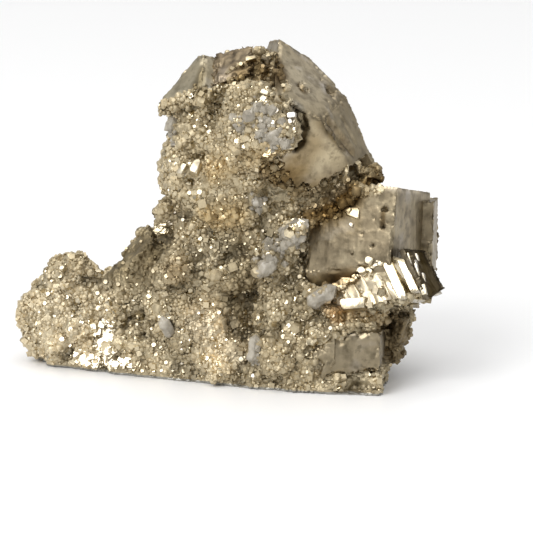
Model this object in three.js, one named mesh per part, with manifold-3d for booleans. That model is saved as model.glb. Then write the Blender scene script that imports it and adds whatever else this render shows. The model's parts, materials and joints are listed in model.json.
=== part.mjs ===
// A cluster of pyrite crystals grown together, sawn flat underneath so that it stands by itself.
// Millimetres, +Z up, +X to the right and +Y away from the side that shows best.
// The origin is on the sawn face, in the middle of the cluster's outline.

import * as THREE from "three";
import { ConvexGeometry } from "three/addons/geometries/ConvexGeometry.js";
import { ImprovedNoise } from "three/addons/math/ImprovedNoise.js";
import { MeshSurfaceSampler } from "three/addons/math/MeshSurfaceSampler.js";
import { mergeVertices } from "three/addons/utils/BufferGeometryUtils.js";
import Module from "manifold-3d";

// Driving dimensions.
const footHeight = 6; // the sawn slab that everything grew on
const footSwell = 0.55; // how far the slab's broken sides stray from its outline
const massCorners = 30; // corners of a rounded mass before its hull is drawn
const massRelief = 0.3; // how far a corner strays from an ellipsoid, as a share of its radius
const chunks = { count: 50, least: 2.4, most: 4.8, spacing: 4.4, seed: 11 }; // twelve-sided crystals in the druse
const grains = { count: 66, least: 1.5, most: 2.6, spacing: 3, seed: 21 }; // the smallest cubes modelled
const sunkShare = 0.22; // how deep a scattered crystal's centre lies, as a share of its size
const cornerEdge = 15; // the large cube at the right-hand corner
const stepped = { length: 15.4, height: 7.3, depth: 9 }; // the bright crystal with stepped faces
const pyritohedronSlope = 0.5; // pyrite's own: each edge of the cube it is drawn on is raised by half
const cutDepth = 40; // thickness of the block that is sawn away underneath

const wasm = await Module();
wasm.setup();
const noise = new ImprovedNoise();

// The same run of numbers each time, from 0 to 1.
function seededRandom(seed) {
  let state = seed;
  return () => {
    state = (Math.imul(state, 1664525) + 1013904223) >>> 0;
    return state / 4294967296;
  };
}

// A closed geometry as a solid that can be joined and cut.
function solidFrom(geometry) {
  const bare = geometry.clone();
  bare.deleteAttribute("normal");
  bare.deleteAttribute("uv");
  const merged = mergeVertices(bare, 1e-4);
  return new wasm.Manifold(
    new wasm.Mesh({
      numProp: 3,
      vertProperties: new Float32Array(merged.attributes.position.array),
      triVerts: new Uint32Array(merged.index.array),
    }),
  );
}

function geometryFrom(solid) {
  const { vertProperties, triVerts } = solid.getMesh();
  const geometry = new THREE.BufferGeometry();
  geometry.setAttribute("position", new THREE.BufferAttribute(vertProperties, 3));
  geometry.setIndex(new THREE.BufferAttribute(triVerts, 1));
  const faceted = geometry.toNonIndexed();
  faceted.computeVertexNormals();
  return faceted;
}

function joined(solids) {
  return solids.reduce((all, next) => all.add(next));
}

// Turns a geometry by degrees about X, Y and Z in turn, and moves it to its place.
function placed(geometry, centre, turn = [0, 0, 0]) {
  const [x, y, z] = turn.map(THREE.MathUtils.degToRad);
  const matrix = new THREE.Matrix4().makeRotationFromEuler(new THREE.Euler(x, y, z, "ZYX"));
  matrix.setPosition(...centre);
  return geometry.applyMatrix4(matrix);
}

// An uneven rounded mass with small flat faces: the hull of points spread evenly over an ellipsoid.
function mass({ centre, radii, turn }) {
  const goldenAngle = Math.PI * (3 - Math.sqrt(5));
  const unevenness = 1.7; // ups and downs over a mass of radius 1
  const corners = [];
  for (let i = 0; i < massCorners; i += 1) {
    const height = 1 - (2 * (i + 0.5)) / massCorners;
    const across = Math.sqrt(1 - height * height);
    const angle = i * goldenAngle;
    const corner = new THREE.Vector3(across * Math.cos(angle), across * Math.sin(angle), height);
    const { x, y, z } = corner.clone().multiplyScalar(unevenness).add(new THREE.Vector3(...centre));
    const stray = 1 + massRelief * noise.noise(x, y, z);
    corners.push(corner.multiplyScalar(stray).multiply(new THREE.Vector3(...radii)));
  }
  return solidFrom(placed(new ConvexGeometry(corners), centre, turn));
}

function cube({ centre, edge, turn }) {
  const [x, y, z] = Array.isArray(edge) ? edge : [edge, edge, edge];
  return solidFrom(placed(new THREE.BoxGeometry(x, y, z), centre, turn));
}

// Pyrite's own twelve-sided form, of the given width.
function pyritohedron({ centre, width, turn }) {
  const tip = 1 + pyritohedronSlope;
  const shoulder = 1 - pyritohedronSlope ** 2;
  const corners = [];
  for (const a of [-1, 1]) {
    for (const b of [-1, 1]) {
      corners.push([a, b, -1], [a, b, 1]);
      corners.push([0, a * shoulder, b * tip], [a * shoulder, b * tip, 0], [b * tip, 0, a * shoulder]);
    }
  }
  const half = width / 2 / tip;
  const points = corners.map((corner) => new THREE.Vector3(...corner).multiplyScalar(half));
  return solidFrom(placed(new ConvexGeometry(points), centre, turn));
}

// A large crystal that grew against its neighbours: a block cut back to each of its flat faces.
function crystal({ centre, reach, faces }) {
  const block = cube({ centre, edge: 2 * reach });
  const wide = 4 * reach;
  const offcuts = faces.map(({ through, facing }) => {
    const outward = new THREE.Vector3(...facing).normalize();
    const offcut = new THREE.BoxGeometry(wide, wide, wide).translate(0, 0, wide / 2);
    offcut.applyQuaternion(new THREE.Quaternion().setFromUnitVectors(new THREE.Vector3(0, 0, 1), outward));
    return solidFrom(offcut.translate(...through));
  });
  return block.subtract(joined(offcuts));
}

// The slab under everything. Its front edge runs back to the left in a long shallow curve.
function footing() {
  const front = [
    [-33.2, 8.5],
    [-28, 3.6],
    [-21.5, -0.4],
    [-13.5, -4.4],
    [-3.5, -8.4],
    [6.5, -12.6],
    [14, -14.6],
  ];
  const back = [
    [24.6, -8],
    [25.6, 3],
    [23.5, 10.5],
    [15, 16],
    [2, 18.4],
    [-12, 18.2],
    [-24, 17.2],
    [-32, 14.2],
  ];
  const outline = new THREE.Shape();
  outline.moveTo(...front[0]);
  outline.splineThru(front.slice(1).map((point) => new THREE.Vector2(...point)));
  outline.splineThru(back.map((point) => new THREE.Vector2(...point)));
  const slab = new THREE.ExtrudeGeometry(outline, {
    depth: footHeight,
    steps: 2,
    curveSegments: 16,
    bevelEnabled: false,
  });
  const roughness = 0.32; // ups and downs over a millimetre
  const points = slab.attributes.position;
  for (let i = 0; i < points.count; i += 1) {
    const [x, y, z] = [points.getX(i), points.getY(i), points.getZ(i)].map((along) => along * roughness);
    points.setX(i, points.getX(i) + footSwell * noise.noise(x, y, z));
    points.setY(i, points.getY(i) + footSwell * noise.noise(y, x, z));
  }
  return solidFrom(slab);
}

// The druse: rounded masses of small crystals that the large crystals stand in.
const druseMasses = {
  footCore: { centre: [0.5, 6, 8], radii: [7, 7, 6] },
  neckCore: { centre: [-1, 7.5, 34], radii: [7, 6, 6] },
  leftLobe: { centre: [-27.2, 9, 8.2], radii: [9.2, 7.8, 9] },
  leftLobeTop: { centre: [-27.2, 8.4, 14], radii: [5.4, 4.8, 4] },
  leftLobeFoot: { centre: [-27, 5, 4], radii: [5.6, 4.6, 5.4] },
  leftSaddle: { centre: [-17.5, 7.5, 7.8], radii: [9.8, 9.6, 9.2] },
  shoulder: { centre: [-9.5, 5.5, 13.4], radii: [10, 10.4, 11] },
  frontLeftBulge: { centre: [-14.4, -0.4, 4.6], radii: [6.4, 5.4, 5.6] },
  frontBulge: { centre: [-4.6, -1.8, 7], radii: [8.8, 8.4, 8] },
  lowerRight: { centre: [11.6, 0, 9], radii: [12.4, 13, 11.8] },
  footFill: { centre: [2.4, -5, 4], radii: [8, 6.4, 6] },
  footFront: { centre: [9.4, -8.2, 4.6], radii: [8, 6, 6.4] },
  rearFootLeft: { centre: [-21, 10.6, 4], radii: [9, 7.4, 7] },
  rearFoot: { centre: [-5, 12, 5], radii: [11, 7.4, 8.6] },
  rearFootRight: { centre: [12, 10, 4.4], radii: [10, 8, 7.4] },
  rightRear: { centre: [18, 7, 16], radii: [10, 10.5, 13] },
  middle: { centre: [-0.6, 3.5, 19], radii: [12.8, 12, 12] },
  middleLeft: { centre: [-7.4, -0.4, 17.6], radii: [7, 7.4, 6.6] },
  middleRight: { centre: [7.6, -2.2, 22.4], radii: [8, 7, 7.4] },
  neck: { centre: [0.6, 4, 28], radii: [11.6, 10.8, 9] },
  neckFront: { centre: [0.4, -3, 30.4], radii: [8.4, 5.6, 7.4] },
  waistLeft: { centre: [-5.4, 1.5, 33.6], radii: [7.4, 8.4, 6.2] },
  waistFront: { centre: [2, -4.2, 37], radii: [7.6, 5.6, 6.6] },
  upperLeft: { centre: [-2.6, 2.5, 40], radii: [8, 9, 9.4] },
  upperRear: { centre: [7, 7, 41], radii: [12, 9.6, 11.4] },
  crest: { centre: [2.4, 1, 49], radii: [7.2, 6.6, 5] },
  frontKnob: { centre: [5.4, -8.8, 43.2], radii: [7.6, 5.4, 7.4] },
  underCrown: { centre: [12.5, -0.4, 31.8], radii: [10.4, 6.6, 5.6] },
};

// Valleys where the masses of the druse don't quite meet.
const crevices = {
  frontValley: { centre: [3.4, -10, 13.4], radii: [2.5, 6, 7], turn: [0, 6, 0] },
  saddleValley: { centre: [-22.2, 4.5, 18], radii: [1.5, 7, 2.8], turn: [0, 0, 20] },
  knobValley: { centre: [13.6, -11.4, 43], radii: [1.2, 2.6, 6] },
  crestHollow: { centre: [7.4, -5.2, 52.6], radii: [1.7, 3, 2.2] },
};

// Flat-faced places that carry no small crystals, as spheres.
const bareSpheres = [
  { centre: new THREE.Vector3(19, 4, 43), radius: 11 },
  { centre: new THREE.Vector3(29, -4, 22), radius: 12 },
  { centre: new THREE.Vector3(21, -12, 5), radius: 7 },
];

function druseBody() {
  const masses = Object.values(druseMasses).map(mass);
  const valleys = Object.values(crevices).map(mass);
  return joined([footing(), ...masses]).subtract(joined(valleys));
}

// Small crystals scattered over the druse and partly sunk in it, turned every way.
function scattered(body, { count, least, most, spacing, seed }, crystal) {
  const random = seededRandom(seed);
  const sampler = new MeshSurfaceSampler(new THREE.Mesh(geometryFrom(body)));
  sampler.setRandomGenerator(random).build();
  const steepest = -0.6; // an overhang that leans further carries none
  const quarterTurn = 90;
  const seat = new THREE.Vector3();
  const outward = new THREE.Vector3();
  const seats = [];
  const solids = [];
  while (solids.length < count) {
    sampler.sample(seat, outward);
    const clearOfFoot = seat.z > most && outward.z > steepest;
    const bare = bareSpheres.some(({ centre, radius }) => centre.distanceTo(seat) < radius);
    if (!clearOfFoot || bare || seats.some((other) => other.distanceTo(seat) < spacing)) continue;
    seats.push(seat.clone());
    const size = THREE.MathUtils.lerp(least, most, random() ** 2);
    const turn = [random(), random(), random()].map((share) => share * quarterTurn);
    const centre = seat.clone().addScaledVector(outward, -sunkShare * size).toArray();
    solids.push(crystal(centre, size, turn));
  }
  return joined(solids);
}

// The large crystal at the top right. Its three broad faces meet in a corner that comes forward.
const crownCorner = [15.5, -9.4, 44.4];
const crown = {
  centre: [15, 3, 44],
  reach: 15,
  faces: [
    { through: crownCorner, facing: [0.534, -0.415, 0.737] },
    { through: crownCorner, facing: [0.836, -0.439, 0.327] },
    { through: crownCorner, facing: [0.3, -0.93, -0.19] },
    { through: [8.5, 2, 55.9], facing: [0.5, 0.2, 0.84] },
    { through: [14.3, 3, 51.8], facing: [0.717, 0.1, 0.69] },
    { through: [19.5, 0, 46.8], facing: [0.823, 0.411, 0.391] },
    { through: [24.6, 1, 34.2], facing: [0.62, -0.1, -0.78] },
    { through: [11.3, -8.4, 32.9], facing: [0.36, -0.15, -0.92] },
    { through: [7, -8, 37], facing: [-0.66, -0.25, -0.71] },
    { through: [8.3, 2, 55.9], facing: [-0.62, -0.1, 0.76] },
    { through: [6.9, 0, 46], facing: [-0.97, -0.24, 0] },
    { through: [14, 14, 44], facing: [0.2, 0.95, 0.24] },
  ],
};

// The crown's front face grew down in steps, so its lower edge is toothed.
function crownTeeth() {
  const teeth = [
    { centre: [8.8, -7, 34.6], edge: [2.8, 3.6, 3.6] },
    { centre: [11.4, -7.7, 32.9], edge: [2.2, 2.6, 3.2] },
    { centre: [13.8, -7.3, 33.7], edge: [2.2, 2.4, 2.6] },
    { centre: [16.2, -6.9, 34.4], edge: [2.4, 2.2, 3] },
    { centre: [18.6, -6.1, 35.6], edge: [2.2, 2.4, 2.8] },
  ];
  const tilt = [6, 14, 14];
  return joined(teeth.map((tooth) => cube({ ...tooth, turn: tilt })));
}

// The crystal at the top left. Its smooth face looks up and outwards to the cluster's left corner.
const shoulderCrystal = {
  centre: [-5, 2, 46],
  reach: 9,
  faces: [
    { through: [-11.8, -1, 45.1], facing: [-0.632, -0.452, 0.629] },
    { through: [-4.8, 1, 53.5], facing: [0.1, 0.3, 0.95] },
    { through: [-2.6, 1, 53.3], facing: [0.5, -0.55, 0.66] },
    { through: [-4.3, -5.4, 49.5], facing: [-0.107, -0.8, -0.6] },
    { through: [-11.8, -1, 45.1], facing: [-0.92, 0.3, -0.25] },
    { through: [-4.8, 1, 53.5], facing: [-0.75, 0.4, 0.53] },
    { through: [-9.6, 7, 44.6], facing: [-0.4, 0.9, 0.1] },
    { through: [1, 0, 46], facing: [1, 0, 0] },
  ],
};

// The smooth crystal that grew against it, on the crest.
const crestCrystal = {
  centre: [1, 0, 50],
  reach: 6,
  faces: [
    { through: [-0.5, 0, 53.6], facing: [-0.339, -0.545, 0.767] },
    { through: [2.7, 0, 55], facing: [-0.1, 0.5, 0.86] },
    { through: [-2.8, -5.5, 50.3], facing: [-0.9, -0.1, 0.4] },
    { through: [4.2, -1, 54], facing: [0.9, -0.3, 0.3] },
    { through: [3.5, -6, 51.1], facing: [0, -0.95, -0.3] },
  ],
};

// Crystals with flat faces at the right-hand corner, the foot, the left shoulder and the back.
const cubes = {
  corner: { centre: [23.1, -3, 24.8], edge: cornerEdge, turn: [-13, 0, -25] },
  cornerSide: { centre: [29.4, 3, 22.8], edge: [10.6, 9, 12.6], turn: [-6, 0, -8] },
  foot: { centre: [20.7, -8.9, 3.3], edge: [10, 13, 13], turn: [-7, 0, -8] },
  footSide: { centre: [16.6, -10.8, 3.4], edge: [4.4, 8, 12.4], turn: [-7, 0, -20] },
  underCorner: { centre: [27.4, -4.6, 9], edge: [4.6, 5, 4.4], turn: [-4, 14, -24] },
  underCornerLow: { centre: [26.6, -4.2, 5.2], edge: [4, 5, 3.8], turn: [10, -12, -34] },
  underCornerRear: { centre: [25.6, 4, 8.4], edge: [8, 8, 8], turn: [10, 16, 20] },
  shoulderStep: { centre: [-13, 1.4, 19.6], edge: [6.4, 8, 6.4], turn: [6, 40, 12] },
  shoulderLump: { centre: [-10, -0.6, 26.6], edge: [4.4, 4.4, 4.4], turn: [32, 22, 15] },
  crestLump: { centre: [6.2, 1, 50.8], edge: [4.4, 4.4, 4.2], turn: [28, 22, 30] },
  waistGlint: { centre: [-5.8, -6.4, 35.4], edge: [3.6, 3, 3.2], turn: [14, 20, 24] },
  rearLarge: { centre: [-5, 13, 23], edge: [10, 9, 10], turn: [20, 12, 28] },
  rearLow: { centre: [8, 15, 14], edge: [10, 8, 10], turn: [-14, 20, -20] },
  rearHigh: { centre: [3, 12, 47], edge: [8, 7, 8], turn: [25, 35, 10] },
  rearCorner: { centre: [21, 12, 22], edge: [9, 9, 10], turn: [10, -18, 40] },
};

// Twelve-sided crystals, some of them half sunk between the cubes.
const pyritohedra = {
  besideCrown: { centre: [22.2, -0.6, 32], width: 6, turn: [35, 15, 50] },
  underCrownFront: { centre: [17.4, -5.6, 31.6], width: 5, turn: [10, 65, 20] },
  lobeFront: { centre: [-25.4, 1.8, 8], width: 6, turn: [15, 30, 45] },
  lobeCrest: { centre: [-24.6, 6, 17], width: 4.6, turn: [50, 20, 15] },
  rearMiddle: { centre: [-18, 14, 8.6], width: 12, turn: [24, 18, 30] },
  rearNeck: { centre: [-4, 13, 35], width: 9, turn: [40, 28, 12] },
};

// The bright crystal in front of the corner. It grew in layers that don't line up, so its faces are stepped.
function steppedCrystal() {
  const layers = [
    { share: 0.2, lift: -0.9 },
    { share: 0.16, lift: -0.2 },
    { share: 0.14, lift: 0.4 },
    { share: 0.06, lift: -0.7 },
    { share: 0.12, lift: 0.7 },
    { share: 0.06, lift: -0.5 },
    { share: 0.1, lift: 0.5 },
    { share: 0.16, lift: -0.3 },
  ];
  const overlap = 0.02;
  let start = -stepped.length / 2;
  const slabs = layers.map(({ share, lift }) => {
    const thick = share * stepped.length;
    const slab = new THREE.BoxGeometry(thick + overlap, stepped.depth + lift, stepped.height + lift);
    slab.translate(start + thick / 2, 0, 0);
    start += thick;
    return solidFrom(placed(slab, [26.1, -9.3, 16.6], [-16, -23, -22]));
  });
  return joined(slabs);
}

// Milky quartz that the pyrite grew round: short six-sided crystals with pointed ends.
const quartzCrystals = {
  valleyTop: { centre: [6.2, -9.4, 20.4], radius: 1.7, length: 6.5, turn: [0, 40, 0] },
  valleyHigh: { centre: [10.2, -8.8, 25.6], radius: 1.6, length: 5.6, turn: [20, 70, 0] },
  valleyFoot: { centre: [4.1, -11.6, 6.6], radius: 1.3, length: 7, turn: [4, 8, 0] },
  underCorner: { centre: [15.2, -10.4, 15.4], radius: 1.5, length: 6.4, turn: [0, 54, -14] },
  leftOfBulge: { centre: [-10.2, -5.6, 9.4], radius: 1.3, length: 5.4, turn: [10, -22, 0] },
  knobHigh: { centre: [4.4, -12.8, 46.4], radius: 1.5, length: 4.4, turn: [30, 60, 0] },
  knobLow: { centre: [8.2, -13, 41.4], radius: 1.9, length: 5, turn: [40, 20, 0] },
};

function quartz({ centre, radius, length, turn }) {
  const sides = 6;
  const bodyHalf = length / 2 - radius;
  const corners = [new THREE.Vector3(0, 0, length / 2), new THREE.Vector3(0, 0, -length / 2)];
  for (let i = 0; i < sides; i += 1) {
    const angle = (i / sides) * 2 * Math.PI;
    const [x, y] = [radius * Math.cos(angle), radius * Math.sin(angle)];
    corners.push(new THREE.Vector3(x, y, bodyHalf), new THREE.Vector3(x, y, -bodyHalf));
  }
  return solidFrom(placed(new ConvexGeometry(corners), centre, turn));
}

// Three-sided pits etched in the corner cube's faces.
const etchPits = [
  { centre: [25.9, -12.6, 28.8], size: 2, turn: [90, 0, -25] },
  { centre: [25.4, -12.4, 25.8], size: 1.2, turn: [90, 40, -25] },
  { centre: [22.2, -11, 24.8], size: 1.1, turn: [90, 20, -25] },
  { centre: [23.9, -12, 22.8], size: 1.2, turn: [90, 60, -25] },
  { centre: [20.6, -10.8, 21.6], size: 1, turn: [90, 10, -25] },
];

function etchPit({ centre, size, turn }) {
  return solidFrom(placed(new THREE.TetrahedronGeometry(size), centre, turn));
}

function sawnAway() {
  const wide = 200;
  return cube({ centre: [0, 0, -cutDepth / 2], edge: [wide, wide, cutDepth] });
}

function wholeCluster() {
  const body = druseBody();
  const druse = [
    scattered(body, chunks, (centre, width, turn) => pyritohedron({ centre, width, turn })),
    scattered(body, grains, (centre, edge, turn) => cube({ centre, edge, turn })),
  ];
  const crystals = [
    ...[crown, shoulderCrystal, crestCrystal].map(crystal),
    crownTeeth(),
    steppedCrystal(),
    ...Object.values(cubes).map(cube),
    ...Object.values(pyritohedra).map(pyritohedron),
    ...Object.values(quartzCrystals).map(quartz),
  ];
  const grown = joined([body, ...druse, ...crystals]);
  return grown.subtract(joined(etchPits.map(etchPit))).subtract(sawnAway());
}

const geometry = geometryFrom(wholeCluster());
geometry.computeBoundingBox();
const middle = geometry.boundingBox.getCenter(new THREE.Vector3());
geometry.translate(-middle.x, -middle.y, 0);

const pyrite = new THREE.MeshStandardMaterial({
  color: 0xa8956b,
  roughness: 0.34,
  metalness: 0.9,
  flatShading: true,
});

const cluster = new THREE.Mesh(geometry, pyrite);
cluster.name = "pyrite_cluster";

const specimen = new THREE.Group();
specimen.add(cluster);

export default specimen;
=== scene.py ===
# A pyrite cluster: large flat-faced crystals that stand in a druse of small ones, with milky quartz
# between them, sawn flat underneath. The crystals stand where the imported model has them.
import json
import math
import random

import bpy
import numpy as np
from mathutils import Euler, Matrix, Vector, kdtree, noise

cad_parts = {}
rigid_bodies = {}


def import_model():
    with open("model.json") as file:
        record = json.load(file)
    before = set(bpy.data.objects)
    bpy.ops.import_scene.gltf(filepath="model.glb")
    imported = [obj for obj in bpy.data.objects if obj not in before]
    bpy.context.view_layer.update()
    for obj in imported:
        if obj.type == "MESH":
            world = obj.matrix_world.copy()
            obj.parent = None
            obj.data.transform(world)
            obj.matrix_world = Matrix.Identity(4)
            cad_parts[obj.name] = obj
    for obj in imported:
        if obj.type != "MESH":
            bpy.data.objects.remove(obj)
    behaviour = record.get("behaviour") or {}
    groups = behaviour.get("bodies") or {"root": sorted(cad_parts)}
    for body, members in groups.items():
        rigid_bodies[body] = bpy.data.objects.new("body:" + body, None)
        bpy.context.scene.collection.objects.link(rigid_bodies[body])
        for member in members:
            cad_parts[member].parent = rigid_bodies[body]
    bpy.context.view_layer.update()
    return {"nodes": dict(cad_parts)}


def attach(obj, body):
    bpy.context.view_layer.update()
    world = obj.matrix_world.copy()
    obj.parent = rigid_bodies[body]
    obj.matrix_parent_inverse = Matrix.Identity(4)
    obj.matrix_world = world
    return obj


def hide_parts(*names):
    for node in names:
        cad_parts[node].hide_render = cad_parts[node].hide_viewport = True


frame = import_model()


# The crown, at the top right: one large crystal whose three broad faces meet in a corner that comes
# forward. It is pyrite, and its faces grew in thin layers, with pits where the layers stopped. The lower
# edge of its front face is toothed, and a druse knob leans on its left.
mm = 0.001
drawing_origin = Vector((0.295, -1.952, 0)) * mm  # of the drawing, in millimetres, that gives every place


def at(x, y, z):
    return Vector((x, y, z)) * mm + drawing_origin


def in_drawing(spots):
    """Where spots lie in the drawing, in millimetres."""
    return (spots - np.array(drawing_origin)) / mm


def choose(*pieces):
    """Selects these pieces alone, the first of them as the active one."""
    bpy.ops.object.select_all(action="DESELECT")
    for piece in pieces:
        piece.select_set(True)
    bpy.context.view_layer.objects.active = pieces[0]


def edit():
    """Opens the active piece for editing, with all of it selected."""
    bpy.ops.object.mode_set(mode="EDIT")
    bpy.ops.mesh.select_all(action="SELECT")


def stop_editing():
    bpy.ops.object.mode_set(mode="OBJECT")


def new_cube(size, **placed):
    bpy.ops.mesh.primitive_cube_add(size=size, **placed)
    return bpy.context.active_object


def even_skin(crystal, spacing):
    """Divides a crystal's skin evenly, which also takes the keenness off its edges."""
    remesh = crystal.modifiers.new("even skin", "REMESH")
    remesh.mode = "VOXEL"
    remesh.voxel_size = spacing * mm
    bpy.ops.object.modifier_apply(modifier=remesh.name)


def cut_back(name, centre, reach, faces, spacing):
    """A block of crystal, cut back to each of its flat faces and then divided evenly."""
    crystal = new_cube(2 * reach * mm, location=at(*centre))
    crystal.name = name
    bpy.ops.object.transform_apply()
    for point, facing in faces:
        edit()
        bpy.ops.mesh.bisect(
            plane_co=at(*point), plane_no=facing, use_fill=True, clear_outer=True, threshold=1e-7
        )
    edit()
    bpy.ops.mesh.normals_make_consistent()
    stop_editing()
    even_skin(crystal, spacing)
    return crystal


def rows_of(layer, name):
    values = np.empty(len(layer) * 3, np.float32)
    layer.foreach_get(name, values)
    return values.reshape(-1, 3).astype(float)


def skin_of(piece):
    return rows_of(piece.data.vertices, "co")


def outward_of(piece):
    return rows_of(piece.data.vertex_normals, "vector")


def set_skin(piece, spots):
    piece.data.vertices.foreach_set("co", spots.astype(np.float32).ravel())
    piece.data.update()


def push_in(piece, depth):
    """Moves each corner of a piece's skin inwards, by its own depth in millimetres."""
    set_skin(piece, skin_of(piece) - outward_of(piece) * (depth * mm)[:, None])


def speckle(spots, size):
    """Soft ups and downs between -1 and 1, about size millimetres apart."""
    return np.array([noise.noise(spot / (size * mm)) for spot in spots])


def ripple(u, v, size, seed):
    """Ups and downs between -1 and 1, about size millimetres apart."""
    return np.array([noise.noise((a / size, b / size, seed * 7.3)) for a, b in zip(u, v)])


def off_line(spots, points):
    """How far each spot is from a line through the points, or from a single point."""
    nearest = np.full(len(spots), np.inf)
    points = [np.array(point, float) for point in points]
    for start, end in zip(points, points[1:] or points):
        along = end - start
        share = np.clip((spots - start) @ along / max(along @ along, 1e-9), 0, 1)
        nearest = np.minimum(nearest, np.linalg.norm(spots - start - np.outer(share, along), axis=1))
    return nearest


def closeness(spots, places, reach, fade=1.3):
    """1 near the line through the places, and 0 from fade times reach on."""
    return np.clip(fade - off_line(spots, places) / reach, 0, 1)


def layers(u, v, seed, count, spread, least, most, height):
    """How deep a face lies where layers of growth cover only part of it. Their edges wander a little."""
    draw = random.Random(seed)
    wander = 0.35 * ripple(u, v, 1.1, seed)
    depth = np.full(len(u), height * count)
    for _ in range(count):
        middle_u, middle_v = draw.uniform(-spread, spread), draw.uniform(-spread, spread)
        half_u, half_v = draw.uniform(least, most), draw.uniform(least, most)
        inside = (np.abs(u - middle_u) + wander < half_u) & (np.abs(v - middle_v) - wander < half_v)
        depth -= height * inside
    return depth


def pit(u, v, at_u, at_v, size, depth, turn):
    """A pit with three flat sides that run down to a point."""
    angle = np.arctan2(v - at_v, u - at_u) - math.radians(turn)
    side = 2 * math.pi / 3
    off = np.hypot(u - at_u, v - at_v) * np.cos((angle % side) - side / 2)
    return depth * np.clip(1.15 - off / size, 0, 1)


def groove(u, v, points, width, depth):
    wander = 0.3 * width * ripple(u, v, 1.2, 5)
    return depth * np.clip(1 - (off_line(np.column_stack((u, v)), points) + wander) / width, 0, 1)


def face_place(spots, face):
    """Where spots are across, up and off a face, in millimetres from the face's point."""
    point, facing = at(*face[0]), Vector(face[1]).normalized()
    across = Vector((0, 0, 1)).cross(facing).normalized()
    away = (spots - np.array(point)) / mm
    return away @ np.array(across), away @ np.array(facing.cross(across)), away @ np.array(facing)


def unit(facing):
    return np.array(Vector(facing).normalized())


def off_faces(spots, faces):
    """How far spots are off each of a crystal's faces, in millimetres. It is below 0 behind the face."""
    return np.array([(spots - np.array(at(*point))) @ unit(facing) for point, facing in faces]) / mm


def carve(crystal, face, depth):
    """Sinks a flat face by depth(across, up) millimetres."""
    spots = skin_of(crystal)
    u, v, off = face_place(spots, face)
    on_face = np.abs(off) < 0.12
    sunk = depth(u[on_face], v[on_face]) * mm
    spots[on_face] -= np.outer(sunk, unit(face[1]))
    set_skin(crystal, spots)


def sink(crystal, places, reach, depth):
    """Sinks a gap or a hole into a crystal, along the line through the places."""
    spots = skin_of(crystal)
    away = off_line(in_drawing(spots), places) + 0.25 * speckle(spots, 0.9)
    push_in(crystal, depth * np.clip(1.3 - away / reach, 0, 1))


def wear(crystal, faces, reach, depth):
    """Chips a crystal's edges, up to reach millimetres from them, more in some places than in others."""
    spots = skin_of(crystal)
    next_nearest = np.sort(off_faces(spots, faces), axis=0)[-2]
    chips = np.clip(0.4 + 1.4 * speckle(spots, 2.3) + 0.9 * speckle(spots, 0.7), 0, 1.2)
    chips *= np.clip(1 + next_nearest / reach, 0, 1)
    push_in(crystal, depth * chips)


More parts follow.
